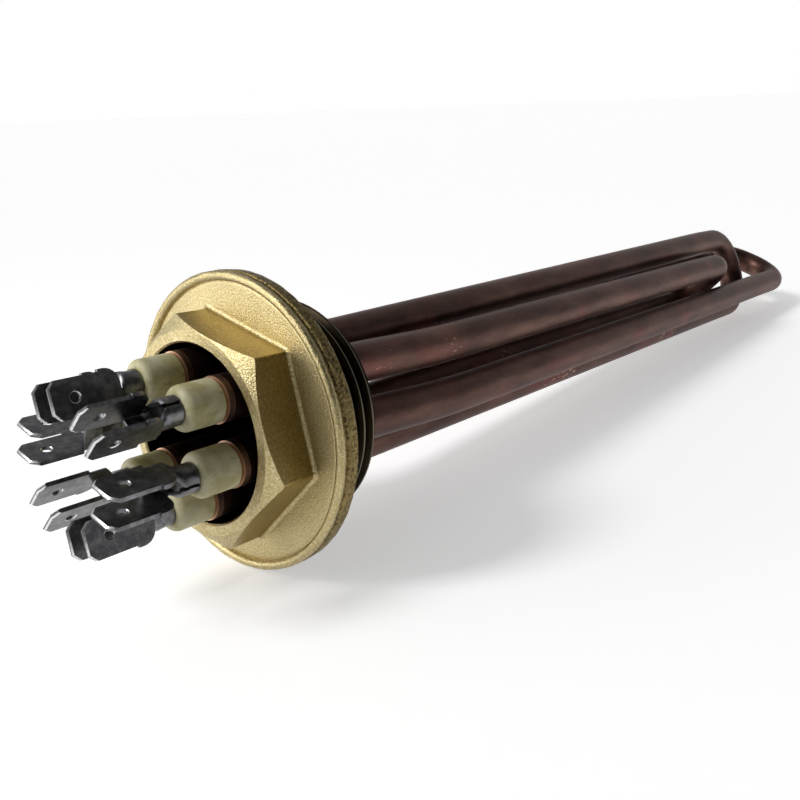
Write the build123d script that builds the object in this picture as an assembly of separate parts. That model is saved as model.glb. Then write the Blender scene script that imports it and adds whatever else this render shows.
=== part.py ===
from build123d import *
import os
from math import cos, hypot, radians, sin, tan

# Electric immersion heater of a coffee machine: a forged brass plug that screws into the
# boiler, with three bent copper heating tubes crossing each other behind it and six
# two-tab terminals in front of it.
#
# Frame: the plug's axis is X. The origin is the middle of the face that seals on the
# boiler, +X runs into the boiler and +Z is up. All lengths are millimetres.

os.makedirs("parts", exist_ok=True)

# Plug: threaded neck, round flange and hexagon
thread_d = 41.91            # outside diameter of a 1 1/4 inch pipe thread
neck_l = 12.5
neck_chamfer = 1.4
end_wall = 5.0              # wall that the tubes pass through
flange_d = 55.4
flange_t = 3.75             # from the sealing face to the flat cast face
flange_edge = 0.5           # chamfer of the flange's back edge
bead_w = 1.75               # rounded bead round the edge of the cast face
bead_h = 0.8
hexagon_wall = 2.3          # between the bore and the hexagon's flats
hexagon_h = 8.65            # above the cast face
hexagon_land = 0.2          # between the flat front ring and the hexagon's flats
hexagon_chamfer = 30.0
bore_chamfer = 0.3

# Heating tubes: six legs on a ring, opposite legs are the two ends of one tube
legs = 6
first_leg = 73.4            # degrees from +Y towards +Z, also the hexagon's first corner
leg_gap = 2.75              # between neighbouring legs
tube_margin = 1.15          # between the tubes and the wall of the bore
tube_d = 8.2
tube_wall = 0.8
tube_out = 1.4              # how far the tubes stand out of the plug's bore
braze_gap = 0.05
lean_start = 8.0            # from the plug to where a leg may start to lean
lean_l = 24.5               # length over which it leans
drift_back = 12.0           # straight part between the last soft bend and the tube's far bend
drift_r = 300.0             # radius of the soft bends
# name, X of the far end, then each leg's number, how far it leans along Z behind the plug,
# and how far along Y and Z it stands off its first line where it meets the far bend
tubes = [
    ("long", 270.5, (2, -1.4, 0.0, 0.6), (5, 0.0, 0.2, 4.0)),
    ("middle", 245.8, (0, 0.0, 1.2, 4.1), (3, 0.0, -0.1, 1.6)),
    ("short", 216.5, (1, -0.9, 0.0, 0.5), (4, 1.1, 0.0, 1.8)),
]

# Inside the tubes
pin_d = 3.5
pin_cold = 34.0             # X where the cold pin meets the resistance coil
coil_d = 3.0
spigot_l = 4.3              # part of the bush that sits in the tube

# Ceramic bushes
bush_step = 0.2             # the collar is this much smaller in radius than the tube
bush_l = 7.1
bush_gap = 0.3              # dark gap between the tube's end and the bush's collar
bush_round = 1.3
spigot_clearance = 0.1
pin_clearance = 0.1

# Two-tab terminals, each folded from one sheet
sheet = 0.8
tab_w = 6.3
tab_l = 8.5                 # from the tip to the shoulder
tab_bevel = 1.1
tab_hole_d = 1.7
tab_hole_x = 4.0            # from the tip
tab_pitch = 5.0             # between the middles of the two tabs
shoulder_h = 0.4            # how far the shoulder stands out beyond the tab's edge
shoulder_l = 3.4
shoulder_r = 2.6
web_lead = 0.4              # the web starts this far behind the shoulder's front
fold_r = 1.2                # outside radius of the folds
barrel_l = 4.0
barrel_gap = 0.1            # between the barrel and the bush
seam = 0.5                  # open seam of the barrel
barrel_step = 0.3           # short neck between the channel and the barrel
pin_short = 0.6             # the pin ends this far inside the barrel

# Places that follow from the sizes
tube_r = tube_d / 2
ring_r = (tube_d + leg_gap) / 2 / sin(radians(180 / legs))
bore_r = ring_r + tube_r + tube_margin
hexagon_r = bore_r + hexagon_wall
tube_in_r = tube_r - tube_wall
plug_front = -flange_t - hexagon_h
rim_x = plug_front - tube_out
collar_back = rim_x - bush_gap
collar_front = collar_back - bush_l
fill_x = collar_back + spigot_l
barrel_back = collar_front - barrel_gap
barrel_front = barrel_back - barrel_l
channel_back = barrel_front - barrel_step
shoulder_front = channel_back - shoulder_l
tip_x = shoulder_front - tab_l
pin_front = barrel_front + pin_short


def station(x):
    """Plane across the axis at x, with its own X along +Y and its own Y along +Z."""
    return Plane(origin=(x, 0, 0), x_dir=(0, 1, 0), z_dir=(1, 0, 0))


def leg_angle(number):
    return first_leg + number * 360 / legs


def leg_place(number):
    """Moves a piece built on the X axis, with its own +Y outwards, to a leg's place."""
    return Rot(X=leg_angle(number)) * Pos(0, ring_r, 0)


def rod(x0, x1, radius):
    """Round bar on the X axis."""
    return extrude(station(x0) * Circle(radius), x1 - x0)


def save(shape, name):
    export_step(shape, f"parts/{name}.step")


# Brass plug
def plug():
    flange_r = flange_d / 2
    thread_r = thread_d / 2
    bead_in = flange_r - bead_w
    bead_mid = flange_r - bead_w / 2
    face = -flange_t
    outline = Line((face, 0), (face, bead_in))
    outline += ThreePointArc((face, bead_in), (face - bead_h, bead_mid), (face, flange_r))
    outline += Polyline(
        (face, flange_r),
        (-flange_edge, flange_r),
        (0, flange_r - flange_edge),
        (0, thread_r),
        (neck_l - neck_chamfer, thread_r),
        (neck_l, thread_r - neck_chamfer),
        (neck_l, 0),
        (face, 0),
    )
    body = revolve(make_face(outline), Axis.X)

    # hexagon, its corners turned off by a cone
    corner_r = hexagon_r / cos(radians(180 / 6))
    front_r = hexagon_r - hexagon_land
    cone_x = plug_front + (corner_r - front_r) * tan(radians(hexagon_chamfer))
    prism = extrude(station(plug_front) * RegularPolygon(corner_r, 6, rotation=first_leg), hexagon_h)
    cone = make_face(
        Polyline((plug_front, front_r), (plug_front, corner_r), (cone_x, corner_r), close=True)
    )
    body += prism - revolve(cone, Axis.X)

    # bore with its small front chamfer, and the holes of the tubes in the end wall
    floor_x = neck_l - end_wall
    hollow = make_face(
        Polyline(
            (plug_front, 0),
            (plug_front, bore_r + bore_chamfer),
            (plug_front + bore_chamfer, bore_r),
            (floor_x, bore_r),
            (floor_x, 0),
            close=True,
        )
    )
    body -= revolve(hollow, Axis.X)
    for number in range(legs):
        body -= leg_place(number) * rod(floor_x, neck_l, tube_r + braze_gap)
    return body


# Line of one bent tube, from its first leg round the bend to its second
def tube_line(far_x, first, second, start):
    near = []
    far = []
    for number, lean, drift_y, drift_z in (first, second):
        angle = radians(leg_angle(number))
        y = ring_r * cos(angle)
        z = ring_r * sin(angle)
        near.append((y, z))
        far.append((y + drift_y, z + drift_z))
    middle_y = (far[0][0] + far[1][0]) / 2
    middle_z = (far[0][1] + far[1][1]) / 2
    bend_r = hypot(far[0][0] - middle_y, far[0][1] - middle_z)
    bend_x = far_x - tube_r - bend_r

    def leg(a, b, lean):
        if a == b:
            return Line((start, *a), (bend_x, *b))
        corners = [(start, *a), (neck_l + lean_start, *a)]
        if lean:
            corners.append((neck_l + lean_start + lean_l, a[0], a[1] + lean))
        corners += [(bend_x - drift_back, *b), (bend_x, *b)]
        return FilletPolyline(*corners, radius=drift_r)

    bend = ThreePointArc((bend_x, *far[0]), (far_x - tube_r, middle_y, middle_z), (bend_x, *far[1]))
    one = leg(near[0], far[0], first[1])
    other = leg(near[1], far[1], second[1])
    return Wire(one.edges() + bend.edges() + other.edges())


def along(line, start, number, radius):
    """Solid round bar along a tube's line that starts at one leg."""
    return sweep(leg_place(number) * (station(start) * Circle(radius)), path=line)


def heating_tube(name, far_x, first, second):
    whole = tube_line(far_x, first, second, rim_x)
    filled = tube_line(far_x, first, second, fill_x)
    number = first[0]

    # the cold pins and the coil follow the same line and meet at pin_cold
    front = Pos((fill_x + pin_cold) / 2, 0, 0) * Box(pin_cold - fill_x, 4 * ring_r, 4 * ring_r)
    sheath = along(whole, rim_x, number, tube_r) - along(whole, rim_x, number, tube_in_r)
    coil = along(filled, fill_x, number, coil_d / 2) - front
    pins = along(filled, fill_x, number, pin_d / 2) & front
    powder = along(filled, fill_x, number, tube_in_r) - coil - pins

    save(sheath, f"heating_tube_{name}")
    save(powder, f"powder_fill_{name}")
    save(coil, f"resistance_coil_{name}")
    for leg in (first[0], second[0]):
        start = leg_place(leg) * rod(pin_front, fill_x, pin_d / 2)
        inside = min(pins.solids(), key=lambda part: part.distance_to(start))
        save(start + inside, f"cold_pin_{leg + 1}")


# Ceramic bush: rounded collar in front of the tube, spigot inside it
def bush():
    collar_r = tube_r - bush_step
    spigot_r = tube_in_r - spigot_clearance
    hole_r = pin_d / 2 + pin_clearance
    front = (collar_front, collar_r - bush_round)
    side = (collar_front + bush_round, collar_r)
    outline = RadiusArc(front, side, bush_round)
    outline += Polyline(
        side,
        (collar_back, collar_r),
        (collar_back, spigot_r),
        (fill_x, spigot_r),
        (fill_x, hole_r),
        (collar_front, hole_r),
        front,
    )
    return revolve(make_face(outline), Axis.X)


# Two-tab terminal, on the X axis, with its own +Y outwards and its tabs side by side along Z
def tab_plate(z):
    half = tab_w / 2
    outer = half + shoulder_h
    outline = make_face(
        Polyline(
            (tip_x, -half + tab_bevel),
            (tip_x, half - tab_bevel),
            (tip_x + tab_bevel, half),
            (shoulder_front, half),
            (shoulder_front, outer),
            (channel_back, outer),
            (channel_back, -half),
            (tip_x + tab_bevel, -half),
            close=True,
        )
    )
    corner = outline.vertices().sort_by(Axis.X)[-2:].sort_by(Axis.Y)[-1]
    outline = fillet(corner, shoulder_r)
    plate = extrude(Pos(0, 0, z - sheet / 2) * outline, sheet)
    hole = Pos(tip_x + tab_hole_x, 0, z) * Cylinder(tab_hole_d / 2, 2 * sheet)
    return plate - hole


def terminal():
    half_out = tab_pitch / 2 + sheet / 2
    inner = -tab_w / 2
    body = tab_plate(tab_pitch / 2) + tab_plate(-tab_pitch / 2)

    # web between the tabs, folded round at its two sides
    web_front = shoulder_front + web_lead
    web_l = channel_back - web_front
    web_x = web_front + web_l / 2
    body += Pos(web_x, inner + sheet / 2, 0) * Box(web_l, sheet, 2 * half_out)
    for side in (1, -1):
        corner = Pos(web_x, inner + fold_r / 2, side * (half_out - fold_r / 2))
        bend = Pos(0, inner + fold_r, side * (half_out - fold_r)) * rod(web_front, channel_back, fold_r)
        body -= corner * Box(web_l, fold_r, fold_r) - bend

    # barrel rolled round the pin, and the neck that joins it to the web
    pin_r = pin_d / 2
    barrel_r = pin_r + sheet
    barrel = rod(barrel_front, barrel_back, barrel_r) - rod(barrel_front, barrel_back, pin_r)
    neck = make_face(
        Polyline(
            (channel_back - sheet, inner),
            (channel_back, inner),
            (barrel_front + sheet, -barrel_r),
            (barrel_front + sheet, -pin_r),
            (channel_back - sheet, inner + sheet),
            close=True,
        )
    )
    body += extrude(Pos(0, 0, -pin_r) * neck, 2 * pin_r)
    body += barrel
    slot = Pos((barrel_front + barrel_back) / 2, barrel_r, 0) * Box(barrel_l, 2 * barrel_r, seam)
    return body - slot


save(plug(), "brass_plug")
for entry in tubes:
    heating_tube(*entry)
for number in range(legs):
    place = leg_place(number)
    save(place * bush(), f"ceramic_bush_{number + 1}")
    save(place * terminal(), f"tab_terminal_{number + 1}")
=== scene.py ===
"""Models the visible pieces of an immersion heater round its CAD frame, and the studio that shows it.

The frame's X axis is the plug's axis, the origin is the middle of the sealing face and +Z is up.
Sizes are written in millimetres and kept in metres.
"""

from math import asin, cos, pi, radians, sin, tan

import bmesh
import bpy
from bpy.props import FloatProperty, FloatVectorProperty, IntProperty, PointerProperty
from bpy.types import Operator, Panel, PropertyGroup
from mathutils import Matrix, Vector, noise


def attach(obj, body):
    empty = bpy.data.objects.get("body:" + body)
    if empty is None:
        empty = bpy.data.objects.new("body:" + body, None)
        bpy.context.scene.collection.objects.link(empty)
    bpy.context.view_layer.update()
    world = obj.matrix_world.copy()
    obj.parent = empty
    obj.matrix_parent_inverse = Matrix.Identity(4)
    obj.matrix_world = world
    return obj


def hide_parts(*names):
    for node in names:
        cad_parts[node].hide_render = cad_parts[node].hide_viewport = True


bl_info = {
    "name": "Immersion Heater",
    "version": (1, 0, 0),
    "blender": (4, 5, 0),
    "location": "3D View > Sidebar > Heater",
    "description": "Models and finishes the visible pieces of an immersion heater on its CAD frame",
    "category": "Object",
}

MM = 0.001
TUBES = ("long", "middle", "short")
# A circle or a grid is made flat on XY: this lays it across the plug's axis
ACROSS = Matrix(((0, 0, 1, 0), (1, 0, 0, 0), (0, 1, 0, 0), (0, 0, 0, 1)))

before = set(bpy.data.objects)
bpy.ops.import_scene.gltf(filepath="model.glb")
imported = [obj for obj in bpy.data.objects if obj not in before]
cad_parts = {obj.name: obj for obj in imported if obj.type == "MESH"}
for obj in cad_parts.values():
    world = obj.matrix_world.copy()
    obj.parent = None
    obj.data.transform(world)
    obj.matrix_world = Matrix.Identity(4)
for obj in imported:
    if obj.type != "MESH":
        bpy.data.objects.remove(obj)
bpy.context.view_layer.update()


def linear(code):
    """A linear colour from an sRGB hex code."""
    values = [int(code[i : i + 2], 16) / 255 for i in (1, 3, 5)]
    return [v / 12.92 if v <= 0.04045 else ((v + 0.055) / 1.055) ** 2.4 for v in values] + [1.0]


def length(millimetres, name, description):
    return FloatProperty(
        name=name, description=description, default=millimetres * MM, unit="LENGTH", precision=5
    )


def angle(degrees, name, description):
    return FloatProperty(
        name=name, description=description, default=radians(degrees), subtype="ANGLE"
    )


def colour(code, name, description):
    return FloatVectorProperty(
        name=name,
        description=description,
        default=linear(code),
        size=4,
        min=0,
        max=1,
        subtype="COLOR",
    )


# Sizes and colours


class PlugSettings(PropertyGroup):
    thread_d: length(41.91, "Thread diameter", "Outside diameter of the pipe thread")
    thread_pitch: length(2.309, "Thread pitch", "From one crest to the next")
    thread_depth: length(1.479, "Thread depth", "From the crest down to the root")
    neck_l: length(12.5, "Neck length", "From the sealing face to the neck's end")
    neck_chamfer: length(1.4, "Neck chamfer", "Chamfer where the thread starts")
    undercut_w: length(1.4, "Undercut", "Width of the plain groove next to the flange")
    end_wall: length(5.0, "End wall", "Thickness of the wall that the tubes pass through")
    flange_d: length(55.4, "Flange diameter", "Outside diameter of the flange")
    flange_t: length(3.75, "Flange thickness", "From the sealing face to the cast face")
    bead_w: length(1.75, "Bead width", "Width of the rounded bead round the cast face")
    bead_h: length(0.8, "Bead height", "Height of the bead above the cast face")
    flash_h: length(0.26, "Flash", "Height of the irregular line left where the dies met")
    hexagon_af: length(37.0, "Across flats", "Width of the hexagon across its flats")
    hexagon_h: length(8.65, "Hexagon height", "Above the cast face")
    hexagon_land: length(0.2, "Front land", "From the flat front ring to the flats")
    hexagon_chamfer: angle(30, "Corner chamfer", "Slope of the cone that cuts the corners")
    corner_r: length(0.45, "Corner radius", "Rounding of the hexagon's six edges")
    root_r: length(0.7, "Root radius", "Cast fillet between the hexagon and the flange")
    bore_d: length(32.4, "Bore", "Diameter of the hollow that holds the tubes' ends")
    bore_chamfer: length(0.3, "Bore chamfer", "Chamfer of the bore's mouth")
    soft_edge: length(0.16, "Blasted edge", "Rounding that the blasting leaves on every edge")


class LegSettings(PropertyGroup):
    count: IntProperty(name="Legs", description="Tube ends on the ring", default=6, min=2)
    first: angle(73.4, "First leg", "From +Y towards +Z, and the hexagon's first corner")
    ring_r: length(10.95, "Ring radius", "From the plug's axis to a tube's axis")
    tube_d: length(8.2, "Tube diameter", "Outside diameter of a tube")
    tube_rim: length(-13.8, "Tube rim", "Place of the tubes' cut ends along the axis")
    hole_gap: length(0.05, "Hole gap", "Clearance of the tubes in the end wall")
    braze_w: length(1.0, "Braze width", "Foot of the brazing fillet on the end wall")
    braze_h: length(1.3, "Braze height", "Length of the brazing fillet along the tube")


class BushSettings(PropertyGroup):
    collar_d: length(7.8, "Collar diameter", "Outside diameter of the bush")
    collar_front: length(-21.2, "Collar front", "Place of the bush's front along the axis")
    collar_back: length(-14.1, "Collar back", "Place of the collar's back along the axis")
    round_r: length(1.3, "Front rounding", "Radius of the collar's rounded front edge")
    spigot_d: length(6.4, "Spigot diameter", "Part of the bush that sits in the tube")
    spigot_end: length(-9.8, "Spigot end", "Place of the spigot's end along the axis")
    hole_d: length(3.7, "Hole", "Hole for the pin")


class TerminalSettings(PropertyGroup):
    sheet: length(0.8, "Sheet", "Thickness of the sheet")
    tab_w: length(6.3, "Tab width", "Width of a push-on tab")
    tip: length(-37.5, "Tip", "Place of the tabs' tips along the axis")
    tip_bevel: length(1.1, "Tip corner", "Cut corners of the tip")
    lead_in: length(0.25, "Lead-in", "Chamfer that guides a connector onto the tab")
    hole_d: length(1.7, "Tab hole", "Hole that a connector latches into")
    hole_x: length(4.0, "Hole place", "From the tip to the hole")
    pitch: length(5.0, "Tab pitch", "Between the middles of the two tabs")
    shoulder_h: length(0.4, "Shoulder height", "Beyond the tab's outer edge")
    shoulder_front: length(-29.0, "Shoulder front", "Place of the shoulder's step along the axis")
    shoulder_r: length(2.6, "Shoulder radius", "Rounded back corner of the shoulder")
    web_lead: length(0.4, "Web lead", "The web starts this far behind the shoulder")
    fold_r: length(1.2, "Fold radius", "Outside radius of the two folds")
    channel_back: length(-25.6, "Channel end", "Where the channel starts to close to a barrel")
    barrel_front: length(-24.0, "Barrel front", "Where the barrel is fully closed")
    barrel_back: length(-21.3, "Barrel back", "Place of the barrel's rear end")
    barrel_r: length(2.15, "Barrel radius", "To the middle of the sheet")
    seam: length(0.5, "Seam", "Open seam of the barrel")
    dent: length(0.16, "Crimp dent", "Depth of the crimping tool's dents in the barrel")
    hole_edge: length(0.13, "Hole edge", "Bright chamfer round the tab holes")


class FinishSettings(PropertyGroup):
    brass: colour("#BCAB7C", "Brass", "Blasted brass")
    # dark and bright grain stops: grain tone that follows the bump, darker in its hollows as painted shade and palest
    # on its peaks as painted highlight
    brass_dark: colour("#A89768", "Brass hollows", "Blasted brass in its hollows")
    brass_bright: colour("#DDD2AE", "Brass grains", "The brightest grains of the blasted brass")
    # flats colours: the hexagon's flats are a smoother brass, made darker as painted shade
    flats: colour("#A28F5C", "Flats", "Smoother flats of the hexagon")
    flats_dark: colour("#877445", "Flats, dark", "Darker tone of the flats")
    # rim colours: the rim's rough skin, a darker copy of the brass as painted shade, with its hollows darker as painted
    # shade
    rim: colour("#85744A", "Rim", "Rough skin of the flange's rim")
    rim_dark: colour("#4F4228", "Rim hollows", "Hollows of the rim's rough skin")
    # painted shadow: near black for the neck in the flange's shadow and for the shade inside the bore
    tarnish: colour("#1D1913", "Tarnish", "Brass darkened by heat")
    # painted highlight along the thread's crests
    crest: colour("#6E6857", "Thread crest", "Worn crest of the thread")
    copper: colour("#664C44", "Copper", "Tarnished copper")
    copper_dark: colour("#47332E", "Dark copper", "Copper where the tarnish is thickest")
    copper_bright: colour("#86675C", "Copper highlight", "Thinly tarnished copper")
    copper_bare: colour("#DDB59C", "Bare copper", "Copper where it is cut or scratched")
    ceramic: colour("#E2DCB8", "Ceramic", "Unglazed steatite")
    ceramic_dark: colour("#C2BA92", "Ceramic mottle", "Darker mottling of the steatite")
    ceramic_stain: colour("#B1AA6E", "Ceramic stain", "Yellow-green patches of the steatite")
    plating: colour("#616164", "Plating", "Dull nickel plating")
    plating_light: colour("#99999B", "Plating rub", "Nickel plating where it is rubbed")
    sheared: colour("#ECECEA", "Sheared edge", "Bright edge left by the punch")
    steel: colour("#7A7876", "Steel", "Drawn steel of the pins")
    solder: colour("#B3A27E", "Braze", "Silver brazing alloy")
    powder: colour("#D8D5CB", "Powder", "Packed magnesium oxide")
    floor: colour("#F4F4F4", "Floor", "Pale studio floor")


class StageSettings(PropertyGroup):
    azimuth: angle(-50.083, "Azimuth", "Camera direction, 0 looks along +Y")
    elevation: angle(14.407, "Elevation", "Camera height above the level")
    roll: angle(0.165, "Roll", "Turn of the camera round its own line of sight")
    place: FloatVectorProperty(
        name="Camera place",
        description="Where the camera stands",
        default=[-98.84 * MM, -120.13 * MM, 48.15 * MM],
        subtype="XYZ",
        unit="LENGTH",
    )
    lens: FloatProperty(
        name="Lens", description="Focal length on a 36 mm wide sensor", default=39.11
    )
    shift_x: FloatProperty(name="Shift X", description="Sideways lens shift", default=-0.00824)
    shift_y: FloatProperty(name="Shift Y", description="Upward lens shift", default=-0.03487)
    floor_tilt: angle(3.47, "Floor tilt", "The flange's rim and the bend of a tube both lie on it")
    floor_drop: length(27.7, "Floor drop", "From the plug's axis down to the flange's lowest point")
    key_strength: FloatProperty(
        name="Key light", description="Strength of the large lamp in front and above", default=1.6
    )
    key_size: angle(16, "Key size", "How wide the key lamp looks from the heater")
    box_power: FloatProperty(
        name="Softbox", description="Power of the softbox on the left", default=0.3, unit="POWER"
    )
    box_size: length(150, "Softbox size", "Side of the softbox")
    floor_lift: FloatProperty(
        name="Floor lift", description="Brings the lit floor up to white for the camera", default=0.45
    )


class HeaterSettings(PropertyGroup):
    plug: PointerProperty(type=PlugSettings)
    legs: PointerProperty(type=LegSettings)
    bush: PointerProperty(type=BushSettings)
    terminal: PointerProperty(type=TerminalSettings)
    finish: PointerProperty(type=FinishSettings)
    stage: PointerProperty(type=StageSettings)


# Mesh helpers


def turned(points, steps):
    """A closed body turned round the X axis from its outline of (x, radius)."""
    bm = bmesh.new()
    verts = [bm.verts.new((x, r, 0)) for x, r in points]
    edges = [bm.edges.new((a, b)) for a, b in zip(verts, verts[1:] + verts[:1])]
    bmesh.ops.spin(
        bm,
        geom=verts + edges,
        cent=(0, 0, 0),
        axis=(1, 0, 0),
        angle=2 * pi,
        steps=steps,
        use_merge=True,
    )
    bmesh.ops.remove_doubles(bm, verts=bm.verts, dist=1e-7)
    bmesh.ops.dissolve_degenerate(bm, edges=bm.edges, dist=1e-7)
    on_axis = [f for f in bm.faces if all(v.co.yz.length < 1e-7 for v in f.verts)]
    bmesh.ops.delete(bm, geom=on_axis, context="FACES")
    bmesh.ops.recalc_face_normals(bm, faces=bm.faces)
    return bm


def make_object(name, bm):
    mesh = bpy.data.meshes.new(name)
    bm.to_mesh(mesh)
    bm.free()
    made = bpy.data.objects.new(name, mesh)
    bpy.context.scene.collection.objects.link(made)
    return made


def apply_modifiers(piece):
    """Replaces a piece's mesh by what its modifiers make of it."""
    depsgraph = bpy.context.evaluated_depsgraph_get()
    finished = bpy.data.meshes.new_from_object(piece.evaluated_get(depsgraph))
    piece.modifiers.clear()
    piece.data = finished


def combine(piece, bm, operation):
    """Joins, cuts or intersects a piece with a second body."""
    tool = make_object("tool", bm)
    step = piece.modifiers.new(operation.title(), "BOOLEAN")
    step.operation = operation
    step.object = tool
    step.solver = "EXACT"
    apply_modifiers(piece)
    bpy.data.objects.remove(tool)


def finish_piece(piece, materials, nodes=(), sharp=35):
    """Gives a piece its materials, shades it, hangs it on the frame and hides the CAD nodes that it stands for."""
    for material in materials:
        piece.data.materials.append(material)
    piece.data.shade_smooth()
    piece.data.set_sharp_from_angle(angle=radians(sharp))
    shading = piece.modifiers.new("Flat faces stay flat", "WEIGHTED_NORMAL")
    shading.keep_sharp = True
    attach(piece, "root")
    if nodes:
        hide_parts(*nodes)
    return piece


def leg_places(legs):
    """For each leg, the matrix that moves a piece from the X axis, +Y outwards, to the leg."""
    out = Matrix.Translation((0, legs.ring_r, 0))
    return [
        Matrix.Rotation(legs.first + number * 2 * pi / legs.count, 4, "X") @ out
        for number in range(legs.count)
    ]


# Materials


def add(tree, kind, settings, **links):
    """Adds a node. Settings fill its own fields or its inputs, links join inputs to outputs."""
    node = tree.nodes.new(kind)
    for name, value in settings.items():
        if isinstance(name, str) and hasattr(node, name):
            setattr(node, name, value)
        else:
            node.inputs[name].default_value = value
    for name, output in links.items():
        key = int(name[1:]) if name[1:].isdigit() else name.replace("_", " ")
        tree.links.new(output, node.inputs[key])
    return node


def new_material(name):
    """An empty material, with its tree, its shader and the object's own coordinates."""
    material = bpy.data.materials.new(name)
    material.use_nodes = True
    tree = material.node_tree
    tree.nodes.clear()
    shader = add(tree, "ShaderNodeBsdfPrincipled", {})
    out = add(tree, "ShaderNodeOutputMaterial", {})
    tree.links.new(shader.outputs["BSDF"], out.inputs["Surface"])
    place = add(tree, "ShaderNodeTexCoord", {}).outputs["Object"]
    return material, tree, shader, place


def set_inputs(shader, **values):
    for name, value in values.items():
        shader.inputs[name.replace("_", " ")].default_value = value


def ramp(tree, stops, factor):
    """A colour ramp from (position, colour) stops."""
    node = tree.nodes.new("ShaderNodeValToRGB")
    elements = node.color_ramp.elements
    while len(elements) < len(stops):
        elements.new(0.5)
    for element, (position, value) in zip(elements, stops):
        element.position = position
        element.color = value
    tree.links.new(factor, node.inputs["Fac"])
    return node.outputs["Color"]


def grey(level):
    return (level, level, level, 1)


def forged_brass(name, dark, base, bright, grain_size, depth, roughness):
    """Forged brass: shot blasting leaves a fine, even grain that breaks the shine up. The grain's
    tone follows its bump: darker in the hollows, as painted shade, and palest on the peaks, as
    painted highlight. There are a few deeper pits, and slow changes of tone from the forging.
    The rim's copy keeps the rough skin of the forging, and its darker colour is painted shade."""
    material, tree, shader, place = new_material(name)
    grain = add(
        tree,
        "ShaderNodeTexNoise",
        {"Scale": 1 / grain_size, "Detail": 3, "Roughness": 0.55},
        Vector=place,
    )
    # pits, about 1.1 mm apart
    pits = add(tree, "ShaderNodeTexVoronoi", {"Scale": 900, "Randomness": 1.0}, Vector=place)
    # forging tone, about 9 mm
    tone = add(tree, "ShaderNodeTexNoise", {"Scale": 110, "Detail": 2}, Vector=place)
    # the grain sets both colour and bump: painted shade in the hollows, painted highlight on the peaks
    grain_tone = ramp(
        tree,
        [(0.30, dark), (0.5, base), (0.74, bright)],
        grain.outputs["Fac"],
    )
    slow = ramp(tree, [(0.35, grey(0.84)), (0.65, grey(1.0))], tone.outputs["Fac"])
    mixed = add(
        tree,
        "ShaderNodeMix",
        {"data_type": "RGBA", "blend_type": "MULTIPLY", 0: 0.8},
        _6=grain_tone,
        _7=slow,
    )
    tree.links.new(mixed.outputs[2], shader.inputs["Base Color"])
    pit_depth = ramp(tree, [(0.0, grey(0.0)), (0.2, grey(1.0))], pits.outputs["Distance"])
    low = add(tree, "ShaderNodeBump", {"Strength": 0.3, "Distance": 0.00005}, Height=pit_depth)
    fine = add(
        tree,
        "ShaderNodeBump",
        {"Strength": 1.0, "Distance": depth},
        Height=grain.outputs["Fac"],
        Normal=low.outputs["Normal"],
    )
    tree.links.new(fine.outputs["Normal"], shader.inputs["Normal"])
    set_inputs(shader, Metallic=1.0, Roughness=roughness)
    return material


def painted_shadow_brass(finish):
    """Turned brass painted near black, as the shadow that the flange casts on the neck and the
    shade inside the bore: smooth, with painted highlights along the thread's crests."""
    material, tree, shader, place = new_material("brass_with_painted_shadow")
    across = add(tree, "ShaderNodeVectorMath", {"operation": "MULTIPLY", 1: (0, 1, 1)}, _0=place)
    radius = add(tree, "ShaderNodeVectorMath", {"operation": "LENGTH"}, _0=across.outputs["Vector"])
    # the last 0.1 mm below the thread's crest, which carries a painted highlight
    crest = add(
        tree,
        "ShaderNodeMapRange",
        {"From Min": 20.90 * MM, "From Max": 20.94 * MM},
        Value=radius.outputs["Value"],
    )
    # the painted shadow changes in tone at random
    stain = add(tree, "ShaderNodeTexNoise", {"Scale": 160, "Detail": 4}, Vector=place)
    dark = ramp(tree, [(0.35, finish.tarnish), (0.7, linear("#332C20"))], stain.outputs["Fac"])
    # a painted highlight on the crests, over the painted shadow
    painted_crest_highlight = add(
        tree,
        "ShaderNodeMix",
        {"data_type": "RGBA", 7: finish.crest},
        _0=crest.outputs["Result"],
        _6=dark,
    )
    tree.links.new(painted_crest_highlight.outputs[2], shader.inputs["Base Color"])
    set_inputs(shader, Metallic=1.0, Roughness=0.38)
    return material


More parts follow.
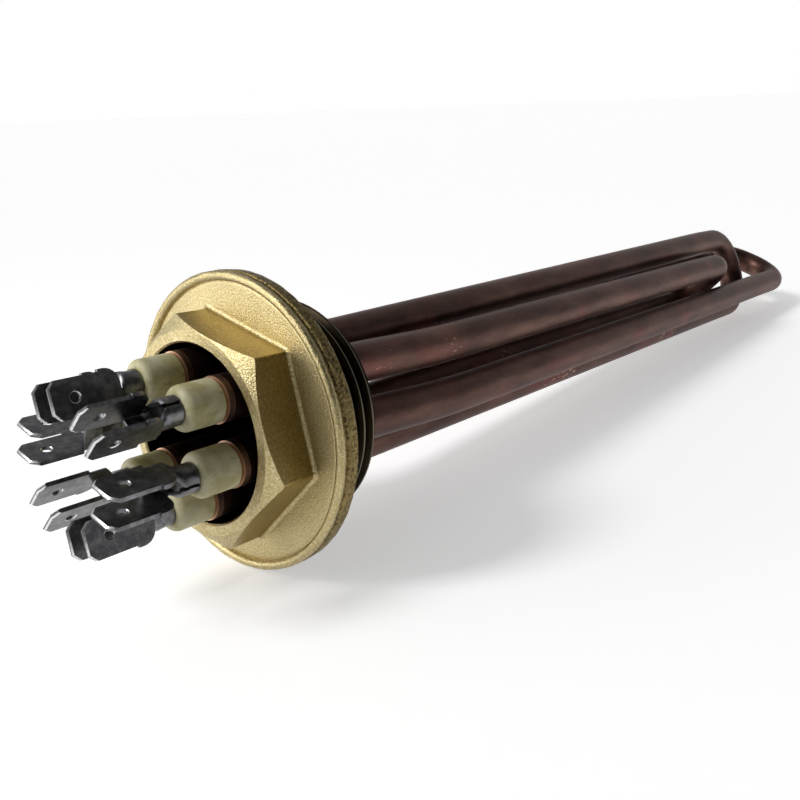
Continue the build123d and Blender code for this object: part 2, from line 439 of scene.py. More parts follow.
def tarnished_copper(finish, rim):
    """Drawn copper tube, annealed and tarnished: purple-brown with a satin sheen, lighter
    where the film is thin, with fine draw lines, shallow dents, a few bare scratches and a
    rolled rim of bare copper at its cut ends."""
    material, tree, shader, place = new_material("tarnished_drawn_copper")
    # patches of the film, drawn out along the tube, about 8 by 25 mm
    long_way = add(tree, "ShaderNodeMapping", {"Scale": (0.3, 1, 1)}, Vector=place)
    film = add(
        tree,
        "ShaderNodeTexNoise",
        {"Scale": 130, "Detail": 6, "Roughness": 0.62},
        Vector=long_way.outputs[0],
    )
    base = ramp(
        tree,
        [(0.32, finish.copper_dark), (0.5, finish.copper), (0.7, finish.copper_bright)],
        film.outputs["Fac"],
    )
    # red oxide in places, about 15 mm
    oxide = add(tree, "ShaderNodeTexNoise", {"Scale": 65, "Detail": 3}, Vector=place)
    red = ramp(tree, [(0.54, grey(0.0)), (0.72, grey(0.6))], oxide.outputs["Fac"])
    reddened = add(
        tree, "ShaderNodeMix", {"data_type": "RGBA", 7: linear("#82504A")}, _0=red, _6=base
    )
    # bare scratches, about 0.5 by 1.5 mm, in a few places
    scratch = add(
        tree,
        "ShaderNodeTexNoise",
        {"Scale": 1500, "Detail": 3, "Roughness": 0.7},
        Vector=long_way.outputs[0],
    )
    patch = add(tree, "ShaderNodeTexNoise", {"Scale": 60, "Detail": 0}, Vector=place)
    both = add(
        tree,
        "ShaderNodeMath",
        {"operation": "MULTIPLY"},
        _0=scratch.outputs["Fac"],
        _1=patch.outputs["Fac"],
    )
    bare = ramp(tree, [(0.475, grey(0.0)), (0.53, grey(0.8))], both.outputs["Value"])
    # the rolled rim: the last 1.3 mm, paler, with a bare edge and a fine groove behind it
    along = add(tree, "ShaderNodeSeparateXYZ", {}, Vector=place)
    rim_tone = add(
        tree,
        "ShaderNodeMapRange",
        {"From Min": rim, "From Max": rim + 1.6 * MM},
        Value=along.outputs["X"],
    )
    rim_bare = ramp(
        tree,
        [
            (0.0, grey(1.0)),
            (0.10, grey(0.75)),
            (0.18, grey(0.18)),
            (0.66, grey(0.16)),
            (0.74, grey(0.6)),
            (0.84, grey(0.0)),
        ],
        rim_tone.outputs["Result"],
    )
    shows = add(tree, "ShaderNodeMath", {"operation": "MAXIMUM"}, _0=bare, _1=rim_bare)
    final = add(
        tree,
        "ShaderNodeMix",
        {"data_type": "RGBA", 7: finish.copper_bare},
        _0=shows.outputs["Value"],
        _6=reddened.outputs[2],
    )
    tree.links.new(final.outputs[2], shader.inputs["Base Color"])
    rough = add(
        tree, "ShaderNodeMapRange", {"To Min": 0.36, "To Max": 0.60}, Value=film.outputs["Fac"]
    )
    tree.links.new(rough.outputs["Result"], shader.inputs["Roughness"])
    # dents, about 9 mm apart, a light skin, and draw lines, about 0.3 mm across
    dents = add(tree, "ShaderNodeTexNoise", {"Scale": 110, "Detail": 1}, Vector=long_way.outputs[0])
    lines_way = add(tree, "ShaderNodeMapping", {"Scale": (0.05, 1, 1)}, Vector=place)
    lines = add(tree, "ShaderNodeTexNoise", {"Scale": 3000, "Detail": 1}, Vector=lines_way.outputs[0])
    skin = add(tree, "ShaderNodeTexNoise", {"Scale": 1200, "Detail": 3}, Vector=place)
    normal = None
    for strength, depth, height in (
        (0.5, 0.0008, dents.outputs["Fac"]),
        (0.25, 0.00003, lines.outputs["Fac"]),
        (0.35, 0.00006, skin.outputs["Fac"]),
        (0.6, 0.00008, rim_bare),
    ):
        bump = add(
            tree, "ShaderNodeBump", {"Strength": strength, "Distance": depth}, Height=height
        )
        if normal:
            tree.links.new(normal, bump.inputs["Normal"])
        normal = bump.outputs["Normal"]
    tree.links.new(normal, shader.inputs["Normal"])
    set_inputs(shader, Metallic=1.0)
    return material


def steatite(finish):
    """Pressed and fired steatite without glaze: cream, faintly mottled, with a soft sheen
    and a few dark specks."""
    material, tree, shader, place = new_material("unglazed_steatite")
    mottle = add(tree, "ShaderNodeTexNoise", {"Scale": 260, "Detail": 5}, Vector=place)
    body = ramp(tree, [(0.3, finish.ceramic_dark), (0.66, finish.ceramic)], mottle.outputs["Fac"])
    # yellow-green patches of the clay, about 4 mm
    patch = add(tree, "ShaderNodeTexNoise", {"Scale": 240, "Detail": 2}, Vector=place)
    patches = ramp(tree, [(0.46, grey(0.0)), (0.62, grey(0.75))], patch.outputs["Fac"])
    body = add(
        tree, "ShaderNodeMix", {"data_type": "RGBA", 7: finish.ceramic_stain}, _0=patches, _6=body
    ).outputs[2]
    # thin brown smears from handling, about 0.6 by 3 mm
    smear_way = add(tree, "ShaderNodeMapping", {"Scale": (0.35, 1, 1)}, Vector=place)
    smear = add(
        tree,
        "ShaderNodeTexNoise",
        {"Scale": 900, "Detail": 4, "Roughness": 0.65},
        Vector=smear_way.outputs[0],
    )
    smears = ramp(tree, [(0.60, grey(0.0)), (0.70, grey(0.5))], smear.outputs["Fac"])
    body = add(
        tree, "ShaderNodeMix", {"data_type": "RGBA", 7: linear("#6F6545")}, _0=smears, _6=body
    ).outputs[2]
    # specks, about 0.3 mm, few
    specks = add(tree, "ShaderNodeTexVoronoi", {"Scale": 620, "Randomness": 1.0}, Vector=place)
    speck = ramp(tree, [(0.05, grey(0.6)), (0.09, grey(0.0))], specks.outputs["Distance"])
    marked = add(
        tree, "ShaderNodeMix", {"data_type": "RGBA", 7: linear("#7B7250")}, _0=speck, _6=body
    )
    tree.links.new(marked.outputs[2], shader.inputs["Base Color"])
    skin = add(tree, "ShaderNodeTexNoise", {"Scale": 2500, "Detail": 2}, Vector=place)
    bump = add(tree, "ShaderNodeBump", {"Strength": 0.35, "Distance": 0.00004}, Height=skin.outputs["Fac"])
    tree.links.new(bump.outputs["Normal"], shader.inputs["Normal"])
    set_inputs(shader, Roughness=0.5, IOR=1.5)
    return material


def dull_plating(finish):
    """Stamped steel with dull nickel plating: dark grey, scuffed lighter where it was handled."""
    material, tree, shader, place = new_material("dull_nickel_plating")
    scuff = add(tree, "ShaderNodeTexNoise", {"Scale": 520, "Detail": 6, "Roughness": 0.7}, Vector=place)
    tone = ramp(tree, [(0.42, finish.plating), (0.75, finish.plating_light)], scuff.outputs["Fac"])
    tree.links.new(tone, shader.inputs["Base Color"])
    # rolling scratches, about 0.2 mm apart along the tabs
    way = add(tree, "ShaderNodeMapping", {"Scale": (0.08, 1, 1)}, Vector=place)
    lines = add(tree, "ShaderNodeTexNoise", {"Scale": 4200, "Detail": 2}, Vector=way.outputs[0])
    bump = add(tree, "ShaderNodeBump", {"Strength": 0.3, "Distance": 0.00003}, Height=lines.outputs["Fac"])
    tree.links.new(bump.outputs["Normal"], shader.inputs["Normal"])
    rough = add(tree, "ShaderNodeMapRange", {"To Min": 0.24, "To Max": 0.5}, Value=scuff.outputs["Fac"])
    tree.links.new(rough.outputs["Result"], shader.inputs["Roughness"])
    set_inputs(shader, Metallic=1.0)
    return material


def bright_metal(name, base, roughness, grain):
    """Bare metal with a faint grain: sheared edges, drawn pins and brazing alloy."""
    material, tree, shader, place = new_material(name)
    waves = add(tree, "ShaderNodeTexNoise", {"Scale": grain, "Detail": 3}, Vector=place)
    dull = [c * 0.72 for c in base[:3]] + [1.0]
    tree.links.new(ramp(tree, [(0.35, dull), (0.6, base)], waves.outputs["Fac"]), shader.inputs["Base Color"])
    bump = add(tree, "ShaderNodeBump", {"Strength": 0.3, "Distance": 0.00004}, Height=waves.outputs["Fac"])
    tree.links.new(bump.outputs["Normal"], shader.inputs["Normal"])
    set_inputs(shader, Metallic=1.0, Roughness=roughness)
    return material


def packed_powder(finish):
    """Magnesium oxide packed hard into the tube: matt, off-white and finely grained."""
    material, tree, shader, place = new_material("packed_magnesia")
    grains = add(tree, "ShaderNodeTexNoise", {"Scale": 3000, "Detail": 2}, Vector=place)
    shade = [c * 0.8 for c in finish.powder[:3]] + [1.0]
    tree.links.new(ramp(tree, [(0.4, shade), (0.6, finish.powder)], grains.outputs["Fac"]), shader.inputs["Base Color"])
    set_inputs(shader, Roughness=0.9)
    return material


# Operators


class HEATER_OT_plug(Operator):
    """Models the forged plug: flange with bead and flash line, hexagon, bore and threaded neck"""

    bl_idname = "heater.plug"
    bl_label = "Plug"

    def flange_outline(self, s):
        """Half section of the flange and the plain neck, from the axis round to the axis."""
        rim = s.flange_d / 2
        face = -s.flange_t
        bead_in = rim - s.bead_w
        root = s.thread_d / 2 - s.thread_depth
        line = [
            (face, 0),
            (face, bead_in - 0.75 * MM),
            (face + 0.06 * MM, bead_in - 0.45 * MM),
            (face + 0.16 * MM, bead_in - 0.15 * MM),
        ]
        for i in range(1, 10):
            turn = pi * i / 10
            line.append((face - s.bead_h * sin(turn), rim - s.bead_w / 2 * (1 + cos(turn)) - 0.05 * MM))
        line += [
            (face + 0.25 * MM, rim - 0.09 * MM),
            (face + 0.75 * MM, rim - s.flash_h),
            (face + 1.05 * MM, rim - s.flash_h),
            (face + 1.25 * MM, rim - 0.02 * MM),
            (face + 1.45 * MM, rim - 0.02 * MM),
            (face + 1.75 * MM, rim - 0.20 * MM),
            (-1.1 * MM, rim - 0.14 * MM),
            (-0.45 * MM, rim - 0.18 * MM),
            (0, rim - 0.6 * MM),
            (0, root),
            (s.neck_l - s.neck_chamfer + s.thread_depth, root),
            (s.neck_l, root - 0.1 * MM),
            (s.neck_l, 0),
        ]
        return line

    def hexagon(self, s, first):
        """The hexagon with rounded edges and a cast fillet at its foot."""
        half = s.hexagon_af / 2
        front = -s.flange_t - s.hexagon_h
        bm = bmesh.new()
        bmesh.ops.create_circle(
            bm,
            cap_ends=True,
            radius=half / cos(pi / 6),
            segments=6,
            matrix=Matrix.Translation((front, 0, 0))
            @ Matrix.Rotation(first - pi / 2, 4, "X")
            @ ACROSS,
        )
        bmesh.ops.bevel(
            bm,
            geom=bm.verts[:],
            offset=s.corner_r,
            affect="VERTICES",
            segments=3,
            profile=0.5,
            material=-1,
        )
        foot = -s.flange_t - s.root_r
        stations = [(foot, 0)]
        for i in range(1, 5):
            turn = pi / 2 * i / 4
            stations.append((foot + s.root_r * sin(turn), s.root_r * (1 - cos(turn))))
        stations.append((-s.flange_t / 2, s.root_r))
        last = bm.faces[:]
        x, grown = front, 0
        for next_x, next_grown in stations:
            extruded = bmesh.ops.extrude_face_region(bm, geom=last)["geom"]
            bmesh.ops.delete(bm, geom=[f for f in last if x != front], context="FACES_ONLY")
            verts = [g for g in extruded if isinstance(g, bmesh.types.BMVert)]
            scale = (half + next_grown) / (half + grown)
            bmesh.ops.scale(bm, vec=(1, scale, scale), verts=verts)
            bmesh.ops.translate(bm, vec=(next_x - x, 0, 0), verts=verts)
            last = [g for g in extruded if isinstance(g, bmesh.types.BMFace)]
            x, grown = next_x, next_grown
        bmesh.ops.recalc_face_normals(bm, faces=bm.faces)
        return bm

    def thread(self, s):
        """The helical ridge of the thread, fading out at both ends."""
        steps_a_turn = 96
        start = s.undercut_w + s.thread_pitch / 2
        turns = (s.neck_l - 0.2 * MM - start) / s.thread_pitch
        steps = round(turns * steps_a_turn)
        crest = s.thread_d / 2
        root = crest - s.thread_depth
        half = s.thread_pitch / 2
        outline = [
            (-half, root - 0.4 * MM),
            (-half, root - 0.03 * MM),
            (-0.30 * MM, crest - 0.17 * MM),
            (-0.13 * MM, crest),
            (0.13 * MM, crest),
            (0.30 * MM, crest - 0.17 * MM),
            (half, root - 0.03 * MM),
            (half, root - 0.4 * MM),
        ]
        bm = bmesh.new()
        verts = [bm.verts.new((start + x, r, 0)) for x, r in outline]
        first = bm.faces.new(verts)
        made = bmesh.ops.spin(
            bm,
            geom=[first],
            cent=(0, 0, 0),
            axis=(1, 0, 0),
            dvec=(s.thread_pitch / steps_a_turn, 0, 0),
            angle=2 * pi * steps / steps_a_turn,
            steps=steps,
        )
        del made
        chamfer_x = s.neck_l - s.neck_chamfer
        end = start + turns * s.thread_pitch
        for v in bm.verts:
            radius = v.co.yz.length
            limit = crest - max(0, v.co.x - chamfer_x)
            fade = min(1, max(0, (v.co.x - start + half) / s.thread_pitch), max(0, (end + half - v.co.x) / half))
            wanted = root + (radius - root) * fade if radius > root else radius
            wanted = min(wanted, limit)
            v.co.y *= wanted / radius
            v.co.z *= wanted / radius
            v.co.x = min(v.co.x, s.neck_l)
        bmesh.ops.recalc_face_normals(bm, faces=bm.faces)
        return bm

    def execute(self, context):
        heater = context.scene.heater
        s = heater.plug
        legs = heater.legs
        face = -s.flange_t
        front = face - s.hexagon_h
        bore_r = s.bore_d / 2

        # hexagon, its corners cut by a cone
        body = make_object("forged_plug", self.hexagon(s, legs.first))
        ring = s.hexagon_af / 2 - s.hexagon_land
        wide = s.hexagon_af / 2 / cos(pi / 6) + 3 * MM
        cone = [
            (front, 0),
            (front, ring),
            (front + (wide - ring) * tan(s.hexagon_chamfer), wide),
            (0, wide),
            (0, 0),
        ]
        combine(body, turned(cone, 180), "INTERSECT")
        combine(body, turned(self.flange_outline(s), 240), "UNION")

        # bore, its mouth and the six holes of the end wall
        floor = s.neck_l - s.end_wall
        hollow = [
            (front - 2 * MM, 0),
            (front - 2 * MM, bore_r + s.bore_chamfer + 2 * MM),
            (front + s.bore_chamfer, bore_r),
            (floor, bore_r),
            (floor, 0),
        ]
        combine(body, turned(hollow, 180), "DIFFERENCE")
        for place in leg_places(legs):
            hole = turned(
                [
                    (floor - 3 * MM, 0),
                    (floor - 3 * MM, legs.tube_d / 2 + legs.hole_gap),
                    (s.neck_l + 3 * MM, legs.tube_d / 2 + legs.hole_gap),
                    (s.neck_l + 3 * MM, 0),
                ],
                48,
            )
            bmesh.ops.transform(hole, matrix=place, verts=hole.verts)
            combine(body, hole, "DIFFERENCE")

        soften = body.modifiers.new("Blasted edges", "BEVEL")
        soften.width = s.soft_edge
        soften.segments = 2
        soften.limit_method = "ANGLE"
        soften.angle_limit = radians(24)
        apply_modifiers(body)

        # the flash line wanders and the forged side is uneven
        for v in body.data.vertices:
            radius = v.co.yz.length
            if radius > s.flange_d / 2 - 0.5 * MM and v.co.x < -0.3 * MM:
                wander = noise.noise(v.co * 420) * 0.14 * MM
                sink = abs(noise.noise(v.co * 700)) * 0.16 * MM
                scale = (radius - sink) / radius
                v.co = Vector((v.co.x + wander, v.co.y * scale, v.co.z * scale))

        finish = heater.finish
        materials = [
            forged_brass(
                "blasted_brass",
                finish.brass_dark,
                finish.brass,
                finish.brass_bright,
                0.34 * MM,
                0.00012,
                0.40,
            ),
            painted_shadow_brass(finish),
            forged_brass(
                "smooth_flats_painted_shade",
                finish.flats_dark,
                finish.flats,
                finish.brass,
                0.28 * MM,
                0.00005,
                0.33,
            ),
            forged_brass(
                "rough_rim_painted_shade",
                finish.rim_dark,
                finish.rim,
                finish.flats,
                0.6 * MM,
                0.0003,
                0.42,
            ),
        ]
        finish_piece(body, materials, ["brass_plug"], sharp=28)
        for polygon in body.data.polygons:
            radius = polygon.center.yz.length
            x = polygon.center.x
            # the neck and the inside of the bore take the brass painted near black, as painted shadow
            if x > 0.02 * MM or (radius < bore_r + 0.02 * MM and x > front + 0.6 * MM):
                polygon.material_index = 1
            # the hexagon's flats take the smoother, darker brass, whose darker colour is painted shade
            elif abs(polygon.normal.x) < 0.3 and radius < s.flange_d / 2 - 2 * MM:
                polygon.material_index = 2
            # the rim takes the rough, darker brass, whose darker colour is painted shade
            elif radius > s.flange_d / 2 - 0.5 * MM and x > face + 0.2 * MM:
                polygon.material_index = 3

        # the thread's ridge takes the same painted shadow, with its painted highlights on the crests
        ridge = make_object("neck_thread", self.thread(s))
        finish_piece(ridge, [materials[1]], sharp=50)

        # brazing fillets where the tubes leave the end wall
        tube_r = legs.tube_d / 2
        fillets = bmesh.new()
        for place in leg_places(legs):
            outline = [(s.neck_l - 0.3 * MM, tube_r - 0.02 * MM), (s.neck_l - 0.3 * MM, tube_r + legs.braze_w)]
            for i in range(9):
                turn = pi / 2 * i / 8
                outline.append(
                    (
                        s.neck_l + legs.braze_h * (1 - cos(turn)),
                        tube_r + legs.braze_w * (1 - sin(turn)) + 0.01 * MM,
                    )
                )
            outline.append((s.neck_l + legs.braze_h, tube_r - 0.02 * MM))
            one = turned(outline, 48)
            bmesh.ops.transform(one, matrix=place, verts=one.verts)
            held = bpy.data.meshes.new("fillet")
            one.to_mesh(held)
            one.free()
            fillets.from_mesh(held)
            bpy.data.meshes.remove(held)
        for v in fillets.verts:
            if v.co.x > s.neck_l + 0.05 * MM:
                v.co.x += noise.noise(v.co * 500) * 0.18 * MM
        rings = make_object("braze_fillets", fillets)
        finish_piece(rings, [bright_metal("silver_braze", finish.solder, 0.35, 900)])
        return {"FINISHED"}


class HEATER_OT_tubes(Operator):
    """Finishes the three copper tubes and what they hold"""

    bl_idname = "heater.tubes"
    bl_label = "Heating tubes"

    def execute(self, context):
        heater = context.scene.heater
        finish = heater.finish
        finishes = {
            "heating_tube_": tarnished_copper(finish, heater.legs.tube_rim),
            "powder_fill_": packed_powder(finish),
            "resistance_coil_": bright_metal("resistance_wire", finish.steel, 0.4, 1500),
            "cold_pin_": bright_metal("drawn_steel", finish.steel, 0.33, 1500),
        }
        for name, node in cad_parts.items():
            for start, material in finishes.items():
                if name.startswith(start):
                    node.data.materials.clear()
                    node.data.materials.append(material)
        return {"FINISHED"}


class HEATER_OT_bushes(Operator):
    """Models the ceramic bushes in the tubes' ends"""

    bl_idname = "heater.bushes"
    bl_label = "Ceramic bushes"

    def execute(self, context):
        heater = context.scene.heater
        s = heater.bush
        collar = s.collar_d / 2
        outline = [(s.collar_front, s.hole_d / 2)]
        for i in range(11):
            turn = pi / 2 * i / 10
            outline.append(
                (
                    s.collar_front + s.round_r * (1 - cos(turn)),
                    collar - s.round_r * (1 - sin(turn)),
                )
            )
        outline += [
            (s.collar_back - 0.15 * MM, collar),
            (s.collar_back, collar - 0.15 * MM),
            (s.collar_back, s.spigot_d / 2),
            (s.spigot_end, s.spigot_d / 2),
            (s.spigot_end, s.hole_d / 2),
        ]
        material = steatite(heater.finish)
        for number, place in enumerate(leg_places(heater.legs), start=1):
            bm = turned(outline, 72)
            bmesh.ops.transform(bm, matrix=place, verts=bm.verts)
            bush = make_object(f"steatite_bush_{number}", bm)
            finish_piece(bush, [material], [f"ceramic_bush_{number}"])
        return {"FINISHED"}


class HEATER_OT_terminals(Operator):
    """Models the folded two-tab terminals, crimped onto the pins"""

    bl_idname = "heater.terminals"
    bl_label = "Terminals"

    def tab(self, s, side):
        """One tab with its shoulder, hole and lead-in chamfers."""
        half = s.tab_w / 2
        web_front = s.shoulder_front + s.web_lead
        outline = [
            (s.tip, -half + s.tip_bevel),
            (s.tip, half - s.tip_bevel),
            (s.tip + s.tip_bevel, half),
            (s.shoulder_front, half),
            (s.shoulder_front, half + s.shoulder_h),
            (s.channel_back, half + s.shoulder_h),
            (s.channel_back, -half + s.fold_r),
            (web_front, -half + s.fold_r),
            (web_front, -half),
            (s.tip + s.tip_bevel, -half),
        ]
        middle = side * s.pitch / 2
        bm = bmesh.new()
        verts = [bm.verts.new((x, y, middle - s.sheet / 2)) for x, y in outline]
        bm.faces.new(verts)
        bmesh.ops.bevel(
            bm,
            geom=[verts[5]],
            offset=s.shoulder_r,
            affect="VERTICES",
            segments=8,
            profile=0.5,
            material=-1,
        )
        raised = bmesh.ops.extrude_face_region(bm, geom=bm.faces[:])["geom"]
        raised = [g for g in raised if isinstance(g, bmesh.types.BMVert)]
        bmesh.ops.translate(bm, vec=(0, 0, s.sheet), verts=raised)
        bmesh.ops.recalc_face_normals(bm, faces=bm.faces)

        tip_end = s.tip + s.tip_bevel + 1e-6
        lead = [
            e
            for e in bm.edges
            if all(v.co.x < tip_end for v in e.verts)
            and abs(e.verts[0].co.z - e.verts[1].co.z) < 1e-7
        ]
        cut = bmesh.ops.bevel(
            bm,
            geom=lead,
            offset=s.lead_in,
            affect="EDGES",
            segments=1,
            profile=0.5,
            material=-1,
        )
        for face in cut["faces"]:
            face.material_index = 1
        return bm

    def saddle(self, s):
        """The web between the tabs, whose sides close round the pin behind it."""
        points = 29
        fold = s.fold_r - s.sheet / 2
        low = -s.tab_w / 2 + s.sheet / 2
        arm = s.pitch / 2

        def channel(t):
            """A point of the open channel, t from 0 to 1."""
            web = 2 * (arm - fold)
            arc = fold * pi / 2
            run = t * (web + 2 * arc)
            if run < arc:
                turn = run / fold
                return low + fold - fold * sin(turn), -arm + fold - fold * cos(turn)
            if run > arc + web:
                turn = (run - arc - web) / fold
                return low + fold - fold * cos(turn), arm - fold + fold * sin(turn)
            return low, -arm + fold + run - arc

        open_half = asin(s.seam / 2 / s.barrel_r)

        def barrel(t, x):
            """A point of the closed barrel, with the dents of the crimping tool."""
            turn = open_half + t * (2 * pi - 2 * open_half)
            pinch = s.dent * max(0, cos(2 * (turn - pi))) * max(0, sin((x - s.barrel_front) / (s.barrel_back - s.barrel_front) * pi))
            r = s.barrel_r - pinch
            return r * cos(turn), -r * sin(turn)

        web_front = s.shoulder_front + s.web_lead
        stations = [(web_front, 0), (s.channel_back, 0)]
        for i in range(1, 7):
            t = i / 6
            stations.append((s.channel_back + (s.barrel_front - s.channel_back) * t, t * t * (3 - 2 * t)))
        for i in range(1, 7):
            stations.append((s.barrel_front + (s.barrel_back - s.barrel_front) * i / 6, 1))

        bm = bmesh.new()
        row = None
        for x, closed in stations:
            section = []
            for i in range(points):
                t = i / (points - 1)
                a = channel(t)
                b = barrel(t, x)
                section.append((x, a[0] + (b[0] - a[0]) * closed, a[1] + (b[1] - a[1]) * closed))
            if row is None:
                verts = [bm.verts.new(p) for p in section]
                row = [bm.edges.new(pair) for pair in zip(verts, verts[1:])]
            else:
                made = bmesh.ops.extrude_edge_only(bm, edges=row)["geom"]
                row = [g for g in made if isinstance(g, bmesh.types.BMEdge)]
                moved = [g for g in made if isinstance(g, bmesh.types.BMVert)]
                ordered = sorted(moved, key=lambda v: section_index(v, previous))
                for v, p in zip(ordered, section):
                    v.co = p
            previous = section
        bmesh.ops.recalc_face_normals(bm, faces=bm.faces)
        return bm

    def execute(self, context):
        heater = context.scene.heater
        s = heater.terminal
        finish = heater.finish

        tabs = make_object("tabs", self.tab(s, 1))
        combine(tabs, self.tab(s, -1), "UNION")
        hole = bmesh.new()
        bmesh.ops.create_cone(
            hole,
            cap_ends=True,
            segments=32,
            radius1=s.hole_d / 2,
            radius2=s.hole_d / 2,
            depth=2 * s.pitch,
            matrix=Matrix.Translation((s.tip + s.hole_x, 0, 0)),
        )
        combine(tabs, hole, "DIFFERENCE")

        # bright chamfer round both holes
        bm = bmesh.new()
        bm.from_mesh(tabs.data)
        middle = Vector((s.tip + s.hole_x, 0))
        round_hole = [
            e
            for e in bm.edges
            if abs(e.verts[0].co.z - e.verts[1].co.z) < 1e-7
            and all(abs((v.co.xy - middle).length - s.hole_d / 2) < 1e-5 for v in e.verts)
        ]
        cut = bmesh.ops.bevel(
            bm,
            geom=round_hole,
            offset=s.hole_edge,
            affect="EDGES",
            segments=1,
            profile=0.5,
            material=-1,
        )
        for face in cut["faces"]:
            face.material_index = 1
        bm.to_mesh(tabs.data)
        bm.free()

        saddle = make_object("saddle", self.saddle(s))
        wall = saddle.modifiers.new("Wall", "SOLIDIFY")
        wall.thickness = s.sheet
        wall.offset = 0
        wall.use_even_offset = True
        apply_modifiers(saddle)

        bm = bmesh.new()
        bm.from_mesh(tabs.data)
        bm.from_mesh(saddle.data)
        whole = bpy.data.meshes.new("terminal")
        bm.to_mesh(whole)
        bm.free()
        bpy.data.objects.remove(tabs)
        bpy.data.objects.remove(saddle)

        materials = [
            dull_plating(finish),
            bright_metal("sheared_steel_edge", finish.sheared, 0.3, 2500),
        ]
        for number, place in enumerate(leg_places(heater.legs), start=1):
            bm = bmesh.new()
            bm.from_mesh(whole)
            bmesh.ops.transform(bm, matrix=place, verts=bm.verts)
            terminal = make_object(f"two_tab_terminal_{number}", bm)
            soften = terminal.modifiers.new("Edges", "BEVEL")
            soften.width = 0.07 * MM
            soften.segments = 2
            soften.limit_method = "ANGLE"
            soften.angle_limit = radians(50)
            apply_modifiers(terminal)
            finish_piece(terminal, materials, [f"tab_terminal_{number}"], sharp=34)
        bpy.data.meshes.remove(whole)
        return {"FINISHED"}


def section_index(vert, section):
    """Which point of a section a vertex that was just extruded from it stands on."""
    return min(range(len(section)), key=lambda i: (vert.co - Vector(section[i])).length)


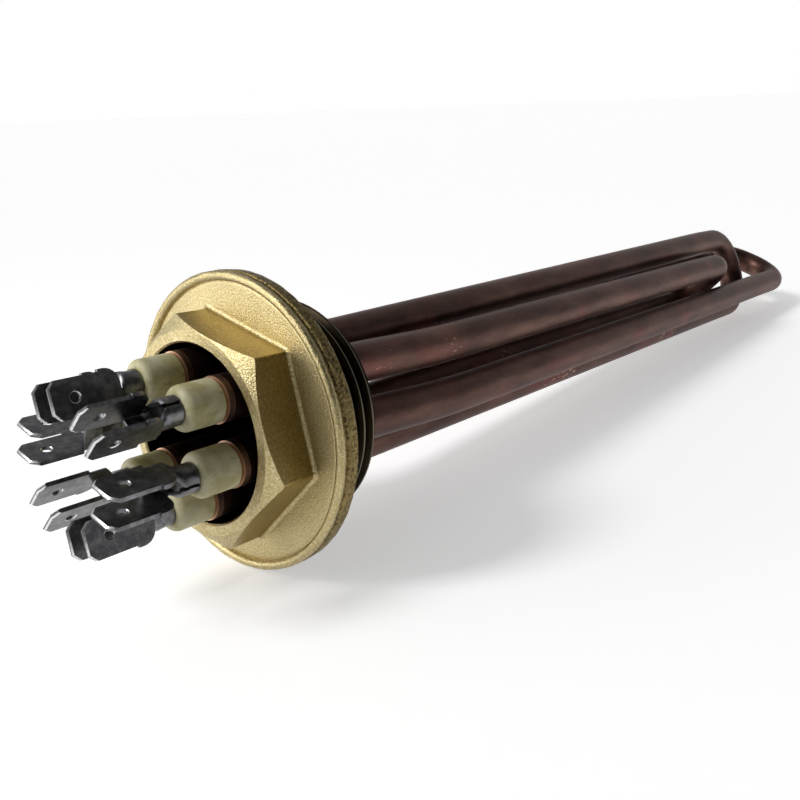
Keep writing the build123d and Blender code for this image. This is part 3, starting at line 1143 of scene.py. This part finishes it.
class HEATER_OT_stage(Operator):
    """Sets up the pale floor, the soft lights and the camera"""

    bl_idname = "heater.stage"
    bl_label = "Stage"

    def execute(self, context):
        scene = context.scene
        s = scene.heater.stage

        # floor: a pale, matt sweep, tilted to what the heater lies on
        bm = bmesh.new()
        bmesh.ops.create_circle(bm, cap_ends=True, radius=30, segments=64)
        tilt = Matrix.Translation((0, 0, -s.floor_drop)) @ Matrix.Rotation(-s.floor_tilt, 4, "Y")
        bmesh.ops.transform(bm, matrix=tilt, verts=bm.verts)
        floor = make_object("studio_floor", bm)
        material, tree, shader, place = new_material("matt_paper")
        fibre = add(tree, "ShaderNodeTexNoise", {"Scale": 300, "Detail": 2}, Vector=place)
        shade = [c * 0.985 for c in scene.heater.finish.floor[:3]] + [1.0]
        tone = ramp(tree, [(0.3, shade), (0.7, scene.heater.finish.floor)], fibre.outputs["Fac"])
        tree.links.new(tone, shader.inputs["Base Color"])
        set_inputs(shader, Roughness=0.9, Emission_Color=grey(1.0))
        # what the camera, metal and glass see of the floor is white, and keeps its shadow
        ray = add(tree, "ShaderNodeLightPath", {})
        seen = ray.outputs["Is Camera Ray"]
        for other in ("Is Glossy Ray", "Is Transmission Ray"):
            seen = add(
                tree, "ShaderNodeMath", {"operation": "MAXIMUM"}, _0=seen, _1=ray.outputs[other]
            ).outputs["Value"]
        lift = add(
            tree, "ShaderNodeMath", {"operation": "MULTIPLY", 1: s.floor_lift}, _0=seen
        )
        tree.links.new(lift.outputs["Value"], shader.inputs["Emission Strength"])
        floor.data.materials.append(material)

        # world: white at the level, greyer overhead and on the right, so that the metal has
        # light and dark to reflect
        world = bpy.data.worlds.new("studio")
        world.use_nodes = True
        tree = world.node_tree
        tree.nodes.clear()
        way = add(tree, "ShaderNodeTexCoord", {}).outputs["Generated"]
        height = add(tree, "ShaderNodeSeparateXYZ", {}, Vector=way)
        sky = ramp(
            tree,
            [(0.0, grey(1.0)), (0.19, grey(1.0)), (0.46, grey(0.38)), (1.0, grey(0.24))],
            height.outputs["Z"],
        )
        right = add(
            tree, "ShaderNodeVectorMath", {"operation": "DOT_PRODUCT", 1: (-0.25, -0.968, 0)}, _0=way
        )
        side = ramp(tree, [(0.0, grey(1.0)), (0.36, grey(0.08))], right.outputs["Value"])
        both = add(
            tree, "ShaderNodeMix", {"data_type": "RGBA", "blend_type": "MULTIPLY", 0: 1.0}, _6=sky, _7=side
        )
        light = add(tree, "ShaderNodeBackground", {"Strength": 1.0}, Color=both.outputs[2])
        out = add(tree, "ShaderNodeOutputWorld", {})
        tree.links.new(light.outputs["Background"], out.inputs["Surface"])
        scene.world = world

        data = bpy.data.lights.new("key", "SUN")
        data.energy = s.key_strength
        data.angle = s.key_size
        key = bpy.data.objects.new("key", data)
        key.rotation_euler = Vector((0.70, -0.34, -0.62)).to_track_quat("-Z", "Y").to_euler()
        scene.collection.objects.link(key)

        data = bpy.data.lights.new("softbox", "AREA")
        data.size = s.box_size
        data.energy = s.box_power
        box = bpy.data.objects.new("softbox", data)
        box.location = (-0.24, 0.19, 0.052)
        box.rotation_euler = Vector((0.24, -0.19, -0.05)).to_track_quat("-Z", "Y").to_euler()
        box.visible_camera = False
        scene.collection.objects.link(box)

        data = bpy.data.cameras.new("camera")
        data.lens = s.lens
        data.sensor_width = 36
        data.shift_x = s.shift_x
        data.shift_y = s.shift_y
        data.clip_start = 0.005
        data.clip_end = 100
        camera = bpy.data.objects.new("camera", data)
        camera.matrix_world = (
            Matrix.Translation(s.place)
            @ Matrix.Rotation(s.azimuth, 4, "Z")
            @ Matrix.Rotation(pi / 2 - s.elevation, 4, "X")
            @ Matrix.Rotation(s.roll, 4, "Z")
        )
        scene.collection.objects.link(camera)
        scene.camera = camera
        scene.view_settings.view_transform = "Standard"
        return {"FINISHED"}


class HEATER_PT_panel(Panel):
    """Lists the heater's pieces in the sidebar"""

    bl_idname = "HEATER_PT_panel"
    bl_label = "Immersion Heater"
    bl_space_type = "VIEW_3D"
    bl_region_type = "UI"
    bl_category = "Heater"

    def draw(self, context):
        for operator in OPERATORS:
            self.layout.operator(operator.bl_idname)
        heater = context.scene.heater
        for group in (heater.plug, heater.legs, heater.bush, heater.terminal, heater.finish, heater.stage):
            box = self.layout.box()
            for name in group.bl_rna.properties.keys():
                if name not in ("rna_type", "name"):
                    box.prop(group, name)


OPERATORS = (
    HEATER_OT_plug,
    HEATER_OT_tubes,
    HEATER_OT_bushes,
    HEATER_OT_terminals,
    HEATER_OT_stage,
)
CLASSES = (
    PlugSettings,
    LegSettings,
    BushSettings,
    TerminalSettings,
    FinishSettings,
    StageSettings,
    HeaterSettings,
    *OPERATORS,
    HEATER_PT_panel,
)


def register():
    for cls in CLASSES:
        bpy.utils.register_class(cls)
    bpy.types.Scene.heater = PointerProperty(type=HeaterSettings)


def unregister():
    del bpy.types.Scene.heater
    for cls in reversed(CLASSES):
        bpy.utils.unregister_class(cls)


def main():
    register()
    bpy.ops.heater.plug()
    bpy.ops.heater.tubes()
    bpy.ops.heater.bushes()
    bpy.ops.heater.terminals()
    bpy.ops.heater.stage()


if __name__ == "__main__":
    main()
